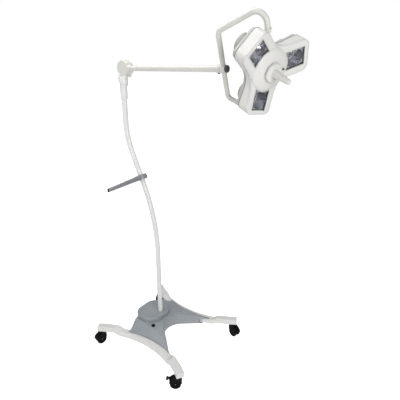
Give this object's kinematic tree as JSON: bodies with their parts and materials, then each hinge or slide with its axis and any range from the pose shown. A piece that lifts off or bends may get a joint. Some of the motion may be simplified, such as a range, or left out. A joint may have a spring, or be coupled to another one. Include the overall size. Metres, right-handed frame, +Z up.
{
  "type": "mobile examination light",
  "caption": "Examination light on a castor base: bent column, swivelling arm, rolling yoke and a tilting lobed lamp head with a pull-off handle.",
  "frame": {"origin": "On the floor, midway between the two leg bars and between their ends.", "axes": "+Z up, +X along the leg bars and along the lamp arm at rest, +Y to the far leg bar."},
  "size_m": [1.0992, 0.6587, 1.9343],
  "materials": {
    "white_paint": "smooth powder coat",
    "arm_paint": "smooth powder coat",
    "grey_shell": "moulded shell, satin",
    "grey_paint": "satin paint",
    "black_plastic": "moulded, satin",
    "black_rubber": "matte rubber",
    "head_shell": "moulded shell, satin",
    "rear_shell": "moulded shell, satin",
    "cap_grey": "moulded, satin",
    "clear_glass": "polished",
    "lamp_glass": "polished",
    "reflector_metal": "faceted, polished",
    "steel": "turned",
    "zinc_screws": "zinc plated",
    "cast_weight": "raw cast iron",
    "ceramic": "lamp holder body",
    "winding": "taped winding",
    "handle_plastic": "autoclavable plastic, satin",
    "knob_grey": "moulded, satin"
  },
  "bodies": {
    "base": {"castor_stems": "steel", "leg_bar_near": "white_paint", "leg_bar_far": "white_paint", "base_frame": "grey_paint", "ballast_weight": "cast_weight", "base_cover": "grey_shell", "cover_screws": "zinc_screws", "transformer": "winding", "inlet_socket": "black_plastic", "foot_switch": "black_plastic", "column_tube": "white_paint", "handle_clamp": "grey_paint", "push_handle": "grey_paint", "handle_plugs": "black_plastic", "clamp_screw": "zinc_screws", "swivel_bearing": "white_paint"},
    "foot_button": {"foot_switch_button": "black_plastic"},
    "swivel": {"swivel_head": "white_paint", "hub_pin": "steel", "hub_spring": "steel"},
    "arm": {"arm_root": "arm_paint", "arm_tube": "arm_paint", "arm_collar": "arm_paint", "arm_screw": "black_plastic"},
    "yoke": {"yoke_spindle": "steel", "yoke_block": "arm_paint", "yoke_knob": "knob_grey", "yoke_tube": "arm_paint", "pivot_pins": "steel"},
    "head": {"rear_housing": "rear_shell", "front_cover": "head_shell", "lens_right": "clear_glass", "lens_upper": "clear_glass", "lens_lower": "clear_glass", "reflector_right": "reflector_metal", "reflector_upper": "reflector_metal", "reflector_lower": "reflector_metal", "lamps": "lamp_glass", "lamp_holders": "ceramic", "lamp_cap_right": "cap_grey", "lamp_cap_upper": "cap_grey", "lamp_cap_lower": "cap_grey", "handle_collar": "head_shell", "housing_screws": "zinc_screws"},
    "handle": {"lamp_handle": "handle_plastic"},
    "head_switch": {"head_button": "black_plastic"},
    "castor_front": {"castor_hood_front": "black_plastic", "castor_axle_front": "steel"},
    "wheels_front": {"castor_wheels_front": "black_rubber"},
    "pedal_front": {"brake_pedal_front": "black_plastic"},
    "castor_right": {"castor_hood_right": "black_plastic", "castor_axle_right": "steel"},
    "wheels_right": {"castor_wheels_right": "black_rubber"},
    "castor_left": {"castor_hood_left": "black_plastic", "castor_axle_left": "steel"},
    "wheels_left": {"castor_wheels_left": "black_rubber"},
    "castor_rear": {"castor_hood_rear": "black_plastic", "castor_axle_rear": "steel"},
    "wheels_rear": {"castor_wheels_rear": "black_rubber"},
    "pedal_rear": {"brake_pedal_rear": "black_plastic"}
  },
  "joints": [
    {"name": "foot_button_press", "type": "slide", "parent": "base", "child": "foot_button", "axis": [0, 0, -1], "range_m": [0, 0.0045], "stiffness_N_per_m": 600, "springref_m": -0.002},
    {"name": "column_swivel", "type": "hinge", "parent": "base", "child": "swivel", "pos_m": [-0.285, 0, 1.6], "axis": [0, 0, 1], "range_deg": [-165, 165]},
    {"name": "arm_tilt", "type": "hinge", "parent": "swivel", "child": "arm", "pos_m": [-0.285, 0.014, 1.7], "axis": [0, 1, 0], "range_deg": [-45, 30]},
    {"name": "yoke_roll", "type": "hinge", "parent": "arm", "child": "yoke", "pos_m": [0.378, 0.014, 1.7], "axis": [1, 0, 0], "range_deg": [-108, 72]},
    {"name": "head_tilt", "type": "hinge", "parent": "yoke", "child": "head", "pos_m": [0.5804, 0.014, 1.7], "axis": [0.299, -0.3012, 0.9055], "range_deg": [-70, 33]},
    {"name": "lamp_handle_pull", "type": "slide", "parent": "head", "child": "handle", "axis": [0.8878, -0.2599, -0.3797], "range_m": [0, 0.06]},
    {"name": "head_button_press", "type": "slide", "parent": "head", "child": "head_switch", "axis": [-0.8878, 0.2599, 0.3797], "range_m": [0, 0.0014], "stiffness_N_per_m": 400, "springref_m": -0.001},
    {"name": "castor_front_swivel", "type": "hinge", "parent": "base", "child": "castor_front", "pos_m": [0.322, -0.28234, 0.09], "axis": [0, 0, 1], "continuous": true},
    {"name": "wheels_front_spin", "type": "hinge", "parent": "castor_front", "child": "wheels_front", "pos_m": [0.30603, -0.29438, 0.032], "axis": [0.6018, -0.7986, 0], "continuous": true},
    {"name": "brake_front_press", "type": "hinge", "parent": "castor_front", "child": "pedal_front", "pos_m": [0.28023, -0.31382, 0.05724], "axis": [0.6018, -0.7986, 0], "range_deg": [0, 14]},
    {"name": "castor_right_swivel", "type": "hinge", "parent": "base", "child": "castor_right", "pos_m": [0.322, 0.28234, 0.09], "axis": [0, 0, 1], "continuous": true},
    {"name": "wheels_right_spin", "type": "hinge", "parent": "castor_right", "child": "wheels_right", "pos_m": [0.34123, 0.27683, 0.032], "axis": [0.2756, 0.9613, 0], "continuous": true},
    {"name": "castor_left_swivel", "type": "hinge", "parent": "base", "child": "castor_left", "pos_m": [-0.322, -0.28234, 0.09], "axis": [0, 0, 1], "continuous": true},
    {"name": "wheels_left_spin", "type": "hinge", "parent": "castor_left", "child": "wheels_left", "pos_m": [-0.32599, -0.30194, 0.032], "axis": [0.9799, -0.1994, 0], "continuous": true},
    {"name": "castor_rear_swivel", "type": "hinge", "parent": "base", "child": "castor_rear", "pos_m": [-0.322, 0.28234, 0.09], "axis": [0, 0, 1], "continuous": true},
    {"name": "wheels_rear_spin", "type": "hinge", "parent": "castor_rear", "child": "wheels_rear", "pos_m": [-0.31599, 0.26327, 0.032], "axis": [0.9537, 0.3007, 0], "continuous": true},
    {"name": "brake_rear_press", "type": "hinge", "parent": "castor_rear", "child": "pedal_rear", "pos_m": [-0.30627, 0.23246, 0.05724], "axis": [0.9537, 0.3007, 0], "range_deg": [0, 14]}
  ]
}
